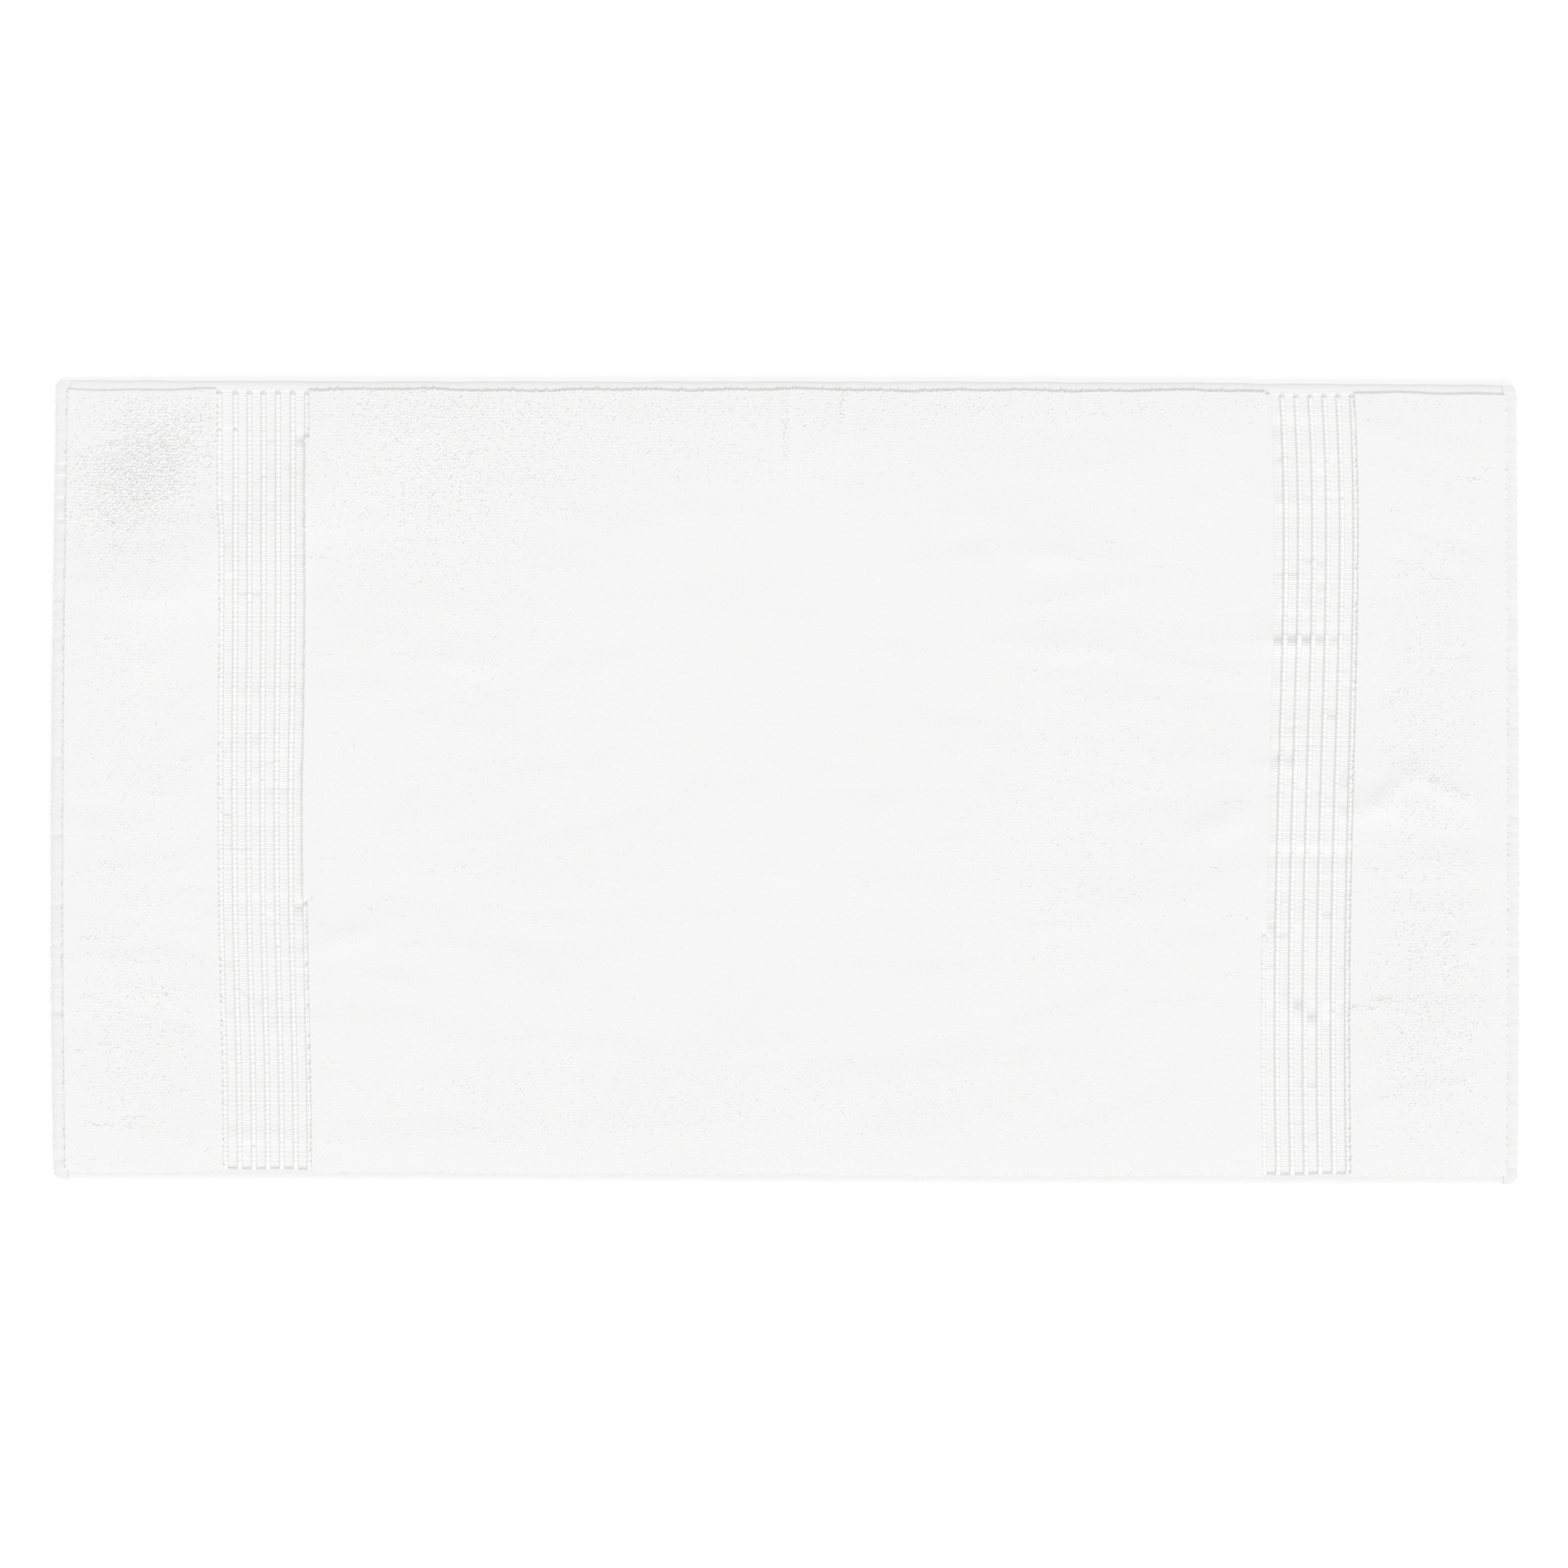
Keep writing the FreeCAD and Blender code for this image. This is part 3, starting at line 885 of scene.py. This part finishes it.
def band_yarns(name, side, passes_over):
    """The yarns of one band that pass over its cords, or those that pass under them."""
    bpy.ops.mesh.primitive_circle_add(vertices=4, radius=1, rotation=(0, math.pi / 2, 0))
    yarns = named(name)
    lengthen(yarns, "X", len(STATIONS) - 1, len(STATIONS) - 1)
    rows = round(SIDE_HEM_INNER / WARP_PITCH) + 2
    repeat(yarns, rows, (0, ROW_STEP, 0))
    apply_modifiers(yarns)
    edit_faces(yarns, close_ends=True, outward=True, flip=side < 0)
    bpy.ops.object.shade_smooth()
    where = points(yarns)
    row = np.rint(where[:, 1] / ROW_STEP).astype(int)
    y, z = where[:, 1] - ROW_STEP * row, where[:, 2]
    x = STATIONS[np.rint(where[:, 0] - where[:, 0].min()).astype(int)]
    away = np.abs(np.array(CORD_PLACES)[:, None] - x[None, :]).min(axis=0) / MM
    rise = np.interp(away, FROM_CORD, OVER_RISE if passes_over else UNDER_RISE) * MM
    half_width = np.interp(away, FROM_CORD, YARN_HALF_WIDTH) * MM
    draw = np.random.RandomState(40 + passes_over)
    wobble = draw.normal(0, WOBBLE, rows)[row]
    place = (2 * (row - rows / 2) + (0.5 if passes_over else 1.5)) * WARP_PITCH + wobble
    tucked = smooth_step(SIDE_HEM_INNER - np.abs(place), -0.5 * MM, TUCK_REACH)
    rise *= draw.uniform(*RISE_SPREAD, rows)[row] * (TUCKED_RISE + (1 - TUCKED_RISE) * tucked)
    height = CLOTH_MID + rise + z * YARN_HALF_HEIGHT
    across = place + y * half_width
    past_limit = np.maximum(np.abs(across) - YARN_LIMIT, 0)
    across -= SQUEEZE * np.sign(across) * past_limit
    move_points(yarns, np.stack([side * x, across, height], axis=1))
    # Painted light: 1 over a cord, fading to 0, painted shade, in the strips.
    cord_light = yarns.data.attributes.new("cord_light", "FLOAT", "POINT")
    cord_light.data.foreach_set("value", 1 - smooth_step(away, *CORD_LIGHT_FADE))
    wear(yarns, YARN_COTTON)
    settle(yarns)
    return yarns


for word, side in (("left", -1), ("right", 1)):
    band_yarns(f"{word}_band_yarns_over", side, True)
    band_yarns(f"{word}_band_yarns_under", side, False)

# %% [markdown]
# ## The cords
#
# Each cord is two thick plies twisted together. It shows only in the small gaps between the beads, so a
# cross-section of two lobes that turns as it runs is enough. The Screw modifier lengthens the section,
# and the twist is a turn that grows along the cord.

# %% Cords
LOBE = 0.14
TWIST_LENGTH = 7 * MM
CORD_STEP = 1.8 * MM


def make_cord(node, name):
    low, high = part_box(node)
    middle = (low.x + high.x) / 2
    bpy.ops.mesh.primitive_circle_add(
        vertices=8, radius=1, rotation=(math.pi / 2, 0, 0), fill_type="NGON"
    )
    cord = named(name)
    lengthen(cord, "Y", high.y - low.y, round((high.y - low.y) / CORD_STEP))
    apply_modifiers(cord)
    edit_faces(cord, outward=True)
    bpy.ops.object.shade_smooth_by_angle(angle=math.radians(60))
    x, along, z = points(cord).T
    along = along - along.min()
    angle = np.arctan2(z, x)
    radius = CORD_RADIUS * (1 - LOBE + LOBE * np.cos(2 * angle))
    turn = angle + along / TWIST_LENGTH * math.pi
    places = [middle + radius * np.cos(turn), low.y + along, CLOTH_MID + radius * np.sin(turn)]
    move_points(cord, np.stack(places, axis=1))
    wear(cord, BAND_COTTON)
    settle(cord)
    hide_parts(node)


for node in sorted(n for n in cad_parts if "_band_cord_" in n):
    make_cord(node, f"{node}_twisted")

# %% [markdown]
# ## The hems
#
# A hem is the cloth turned over and pressed, so its section is a flat loop with a round outer edge. The
# seam pinches it near its inner edge and leaves small puckers between the stitches. A round section
# lengthened by a Screw modifier has the right topology. The shape is then given by formula: where a
# point sits round the section, and how far along the hem.

# %% Hem section
HEM_POINTS = 16
SIDE_SEAM_INSET = 1.5 * MM
END_SEAM_INSET = 2.1 * MM
PINCH = 0.35
PINCH_REACH = 1.1 * MM
NOSE_TAPER = 0.35
WAVES = (29, 17, 11.5, 8.2, 6.1)


def long_strip(name, points_round, axis, length, steps):
    """A closed tube along X or Y, with capped ends, that a formula can shape."""
    turn = (0, math.pi / 2, 0) if axis == "X" else (math.pi / 2, 0, 0)
    bpy.ops.mesh.primitive_circle_add(vertices=points_round, radius=1, rotation=turn)
    strip = named(name)
    lengthen(strip, axis, length, steps)
    apply_modifiers(strip)
    edit_faces(strip, close_ends=True, outward=True)
    bpy.ops.object.shade_smooth_by_angle(angle=math.radians(70))
    return strip


def puckers(along, seed):
    """An uneven rise and fall along a seam, about 1 high at most."""
    draw = np.random.RandomState(seed)
    wave = np.zeros(len(along))
    for length in WAVES:
        wave += np.cos(2 * math.pi * along / (length * MM) + draw.uniform(0, 6.3)) / 4
    return wave


def hem_section(across, up, width, inset):
    """Turns a unit circle into a pressed fold. across is 1 at the outer edge and -1 at the seam side."""
    flat_across = np.sign(across) * np.abs(across) ** 0.75
    flat_up = np.sign(up) * np.abs(up) ** 0.6
    from_inner = (flat_across + 1) / 2 * width
    pinch = 1 - PINCH * bell(from_inner - inset, PINCH_REACH)
    pinch *= 1 - NOSE_TAPER * np.clip(from_inner / width, 0, 1) ** 2
    return from_inner, flat_up * HEM_HALF_THICKNESS * pinch


# %% [markdown]
# ## Side hems
#
# On the long sides the yarns run along the hem, so it looks smooth. Only its top puckers a little, and
# its outer edge wavers.

# %% Side hems
SIDE_STEP = 1.8 * MM
SIDE_PUCKER = 0.12 * MM
SIDE_WAVER = 0.35 * MM
WAVER_STRETCH = 0.21


def make_side_hem(node, name, side, seed):
    low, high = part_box(node)
    width, length = high.y - low.y, high.x - low.x
    hem = long_strip(name, HEM_POINTS, "X", length, round(length / SIDE_STEP))
    x, y, z = points(hem).T
    x = x - x.min() + low.x
    from_inner, up = hem_section(y * side, z, width, SIDE_SEAM_INSET)
    up += SIDE_PUCKER * puckers(x, seed + 1) * (z > 0)
    waver = SIDE_WAVER * puckers(x * WAVER_STRETCH, seed + 2) * from_inner / width
    places = [x, side * (SIDE_HEM_INNER + from_inner + waver), CLOTH_MID + up]
    move_points(hem, np.stack(places, axis=1))
    wear(hem, HEM_COTTON)
    settle(hem)
    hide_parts(node)
    return hem


side_hems = [
    make_side_hem("side_hem_back", "side_hem_back_fold", 1, 3),
    make_side_hem("side_hem_front", "side_hem_front_fold", -1, 7),
]

# %% [markdown]
# ## Dents in the end hems
#
# Where the mat was folded the end hems are dented. A nip is short, with a steep wall on its front side. A
# hollow is longer: its slope faces the back and so lies in shade, and it ends in a short bright wall.
# All sizes in the two lists are in millimetres.

# %% Nips and hollows
# Each nip: which end of the mat, place across the mat, length of the easy slopes, depth.
NIPS = [
    (-1, 110.5, 9, 1.0),
    (-1, 86, 4, 0.5),
    (-1, 14, 4, 0.5),
    (-1, -34, 5, 0.7),
    (-1, -78, 8, 0.5),
    (-1, -143, 4, 1.0),
    (-1, -234, 5, 1.1),
    (1, 102, 9, 1.3),
    (1, 71, 8, 1.0),
    (1, 35, 7, 0.6),
    (1, -20, 4, 0.9),
    (1, -29, 4, 0.6),
    (1, -106, 5, 0.7),
    (1, -236, 5, 1.3),
]
# Each hollow: which end of the mat, place of its wall across the mat, length of its slope, depth.
HOLLOWS = [
    (-1, 194, 6, 1.5),
    (-1, 186.5, 9, 1.8),
    (-1, 173, 7, 1.7),
    (-1, 160, 3.5, 0.9),
]
NIP_WALL = 1.2
STEEP_SHARE = 0.55
EASY_SHARE = 0.45
HOLLOW_WALL = 1.0
NOSE_KEEPS = 0.85


def nips(side, y):
    """How deep the nips are (in metres) at each place along a hem."""
    depth = np.zeros(len(y))
    for where, middle, easy, deepest in NIPS:
        if where == side:
            past = middle - y / MM
            wall = np.where(past > 0, bell(past, NIP_WALL), bell(past, easy))
            depth += deepest * MM * (STEEP_SHARE * wall + EASY_SHARE * bell(past, easy))
    return depth


def hollows(side, y, share):
    """How deep the hollows are (in metres) at each place along a hem and share of its width."""
    depth = np.zeros(len(y))
    for where, wall, length, deepest in HOLLOWS:
        if where == side:
            down = smooth_step(y / MM, wall - length, wall)
            back_up = 1 - smooth_step(y / MM, wall, wall + HOLLOW_WALL)
            depth += deepest * MM * down * back_up
    return depth * (1 - NOSE_KEEPS * smooth_step(share, 0.45, 0.9))


print(len(NIPS), "nips and", len(HOLLOWS), "hollows")

# %% [markdown]
# ## End hems
#
# On the short ends the warp yarns run round the fold, which gives fine ribs and a slightly ragged outer
# edge. The corners are rounded. The dents go into the top only, and stay clear of the ground cloth.

# %% End hems
RIB_PITCH = 1.47 * MM
STEPS_PER_RIB = 3
CORNER_RADIUS = 5 * MM
RIB_DEPTH = 0.16 * MM
RAGGED = 0.25 * MM
PUCKER = 0.22 * MM
LEAST_TOP = 0.2 * MM


def make_end_hem(node, name, side, seed):
    low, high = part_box(node)
    width, length = high.x - low.x, high.y - low.y
    ribs = round(length / RIB_PITCH)
    hem = long_strip(name, HEM_POINTS, "Y", length, ribs * STEPS_PER_RIB)
    x, y, z = points(hem).T
    y = y - y.min() + low.y
    from_inner, up = hem_section(x * side, z, width, END_SEAM_INSET)
    from_end = HALF_WIDTH - np.abs(y)
    inside = np.clip(CORNER_RADIUS - from_end, 0, CORNER_RADIUS)
    cut = CORNER_RADIUS - np.sqrt(CORNER_RADIUS**2 - inside**2)
    from_inner *= (width - cut) / width
    rib = -np.cos(2 * math.pi * (y - low.y) / length * ribs)
    number = np.clip(((y - low.y) / length * ribs + 0.5).astype(int), 0, ribs)
    ragged = np.random.RandomState(seed).normal(0, RAGGED, ribs + 1)[number]
    outer = smooth_step(from_inner / width, 0.55, 1.0)
    from_inner = from_inner + outer * (ragged + RIB_DEPTH * rib)
    up += np.sign(up) * RIB_DEPTH * rib * smooth_step(from_inner / width, 0.1, 0.3)
    bump = PUCKER * puckers(y, seed + 1) - nips(side, y) - hollows(side, y, from_inner / width)
    lowest = np.minimum(up, LEAST_TOP)
    up = np.where(z > 0, np.maximum(up + bump, lowest), up)
    places = [side * (END_HEM_INNER + from_inner), y, CLOTH_MID + up]
    move_points(hem, np.stack(places, axis=1))
    wear(hem, HEM_COTTON)
    settle(hem)
    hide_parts(node)
    return hem


end_hems = [
    make_end_hem("end_hem_left", "end_hem_left_fold", -1, 21),
    make_end_hem("end_hem_right", "end_hem_right_fold", 1, 23),
]

# %% [markdown]
# ## The seams
#
# A lock stitch shows as a row of short dashes on each face. The needle thread lies on top, dips into the
# cloth at each hole and comes up again, and the bobbin thread does the same from below. One thread is a
# thin tube whose height follows that rise and dip.

# %% Sewing threads
STITCH_LENGTH = 3.64 * MM
THREAD_RADIUS = 0.26 * MM
THREAD_POINTS = 5
STEPS_PER_STITCH = 6
DIP = 0.75 * MM
DIP_FROM = 0.72
THREAD_RISE = 0.1 * MM


def make_thread(node, name, axis, place, face):
    """A row of stitches along a hem. face is 1 above the hem and -1 below it."""
    low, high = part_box(node)
    start, end = (low.x, high.x) if axis == "X" else (low.y, high.y)
    length = end - start
    stitches = round(length / STITCH_LENGTH)
    thread = long_strip(name, THREAD_POINTS, axis, length, stitches * STEPS_PER_STITCH)
    where = points(thread)
    run = where[:, 0] if axis == "X" else where[:, 1]
    round_it = where[:, 1] if axis == "X" else where[:, 0]
    run = run - run.min()
    beat = np.abs(np.cos(math.pi * run / length * stitches))
    dip = DIP * smooth_step(beat, DIP_FROM, 1.0)
    surface = HEM_HALF_THICKNESS * (1 - PINCH) + THREAD_RISE
    height = CLOTH_MID + face * (surface - dip) + where[:, 2] * THREAD_RADIUS
    sideways = place + round_it * THREAD_RADIUS
    run = start + run
    places = [run, sideways, height] if axis == "X" else [sideways, run, height]
    move_points(thread, np.stack(places, axis=1))
    wear(thread, THREAD_COTTON)
    settle(thread)
    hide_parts(node)
    return thread


for kind, face in (("needle", 1), ("bobbin", -1)):
    for word, side in (("front", -1), ("back", 1)):
        node = f"side_hem_{word}_{kind}_thread"
        seam = side * (SIDE_HEM_INNER + SIDE_SEAM_INSET)
        make_thread(node, f"{node}_stitches", "X", seam, face)
    for word, side in (("left", -1), ("right", 1)):
        node = f"end_hem_{word}_{kind}_thread"
        seam = side * (END_HEM_INNER + END_SEAM_INSET)
        make_thread(node, f"{node}_stitches", "Y", seam, face)

# %% [markdown]

# %% [markdown]
# ## Floor, light and camera
#
# White cloth on a white floor has very little contrast, so the light does the drawing. A soft light
# comes from beyond the front edge: walls that face it are bright, the back edges fall into shade, and
# the wrinkles show. It is a sun lamp with a wide angle, because that lights both ends of the mat alike.
# The rest is an even pale surround. The floor is a plain plane that glows a little, as a lit sweep does,
# so that the mat's shadow on it stays faint.

# %% Floor and light
FLOOR_SIZE = 12
FLOOR_BASE = 0.3
FLOOR_ROUGHNESS = 0.9
FLOOR_GLOW = 0.665
SURROUND = 0.715
KEY_FROM = (0.9, -2.8, 2.4)
KEY_SPREAD = 24
KEY_POWER = 2.0


def make_floor():
    bpy.ops.mesh.primitive_plane_add(size=FLOOR_SIZE, location=(0, 0, 0))
    floor = named("floor")
    material = bpy.data.materials.new("pale_floor")
    material.use_nodes = True
    shader = material.node_tree.nodes["Principled BSDF"]
    shader.inputs["Base Color"].default_value = (FLOOR_BASE, FLOOR_BASE, FLOOR_BASE, 1)
    shader.inputs["Roughness"].default_value = FLOOR_ROUGHNESS
    shader.inputs["Specular IOR Level"].default_value = 0.0
    shader.inputs["Emission Color"].default_value = (1, 1, 1, 1)
    shader.inputs["Emission Strength"].default_value = FLOOR_GLOW
    wear(floor, material)
    floor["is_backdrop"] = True


def make_light():
    world = bpy.data.worlds.new("pale_surround")
    world.use_nodes = True
    world.node_tree.nodes["Background"].inputs["Color"].default_value = (1, 1, 1, 1)
    world.node_tree.nodes["Background"].inputs["Strength"].default_value = SURROUND
    bpy.context.scene.world = world
    bpy.ops.object.light_add(type="SUN", location=KEY_FROM)
    key = bpy.context.object
    key.name = "key_light"
    key.data.energy = KEY_POWER
    key.data.angle = math.radians(KEY_SPREAD)
    aim = -key.location.normalized()
    key.rotation_euler = aim.to_track_quat("-Z", "Y").to_euler()


make_floor()
make_light()
print(f"floor {FLOOR_SIZE} m wide, sun {KEY_POWER} over {KEY_SPREAD} degrees, surround {SURROUND}")

# %% [markdown]
# ## Camera
#
# The camera looks straight down on the middle of the mat through a long lens, so that the sides stay
# parallel. The view is as wide as the mat and a margin at each end. A raised gamma softens the shadows.

# %% Camera
OFF_CENTRE = (-0.0010, -0.0012)
SENSOR = 36.0
LENS = 100.0
VIEW_WIDTH = 0.9639
SOFTNESS = 2.0


def make_camera():
    height = VIEW_WIDTH * LENS / SENSOR + CLOTH_MID
    bpy.ops.object.camera_add(location=(*OFF_CENTRE, height), rotation=(0, 0, 0))
    camera = bpy.context.object
    camera.data.lens = LENS
    camera.data.sensor_width = SENSOR
    camera.data.clip_end = 50
    bpy.context.scene.camera = camera
    view = bpy.context.scene.view_settings
    view.view_transform = "Standard"
    view.gamma = SOFTNESS


make_camera()
print(f"a {LENS:.0f} mm lens that sees {VIEW_WIDTH:.3f} m")

# %% [markdown]
# ## Last: print the two boxes
#
# The visual mat is meant to be the size of the CAD mat. Both boxes are printed, one below the other.

# %% Write the sizes and finish
seen_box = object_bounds()
for word, corners in (("cad", cad_box), ("seen", seen_box)):
    print(word, [[round(v / MM, 1) for v in corner] for corner in corners])
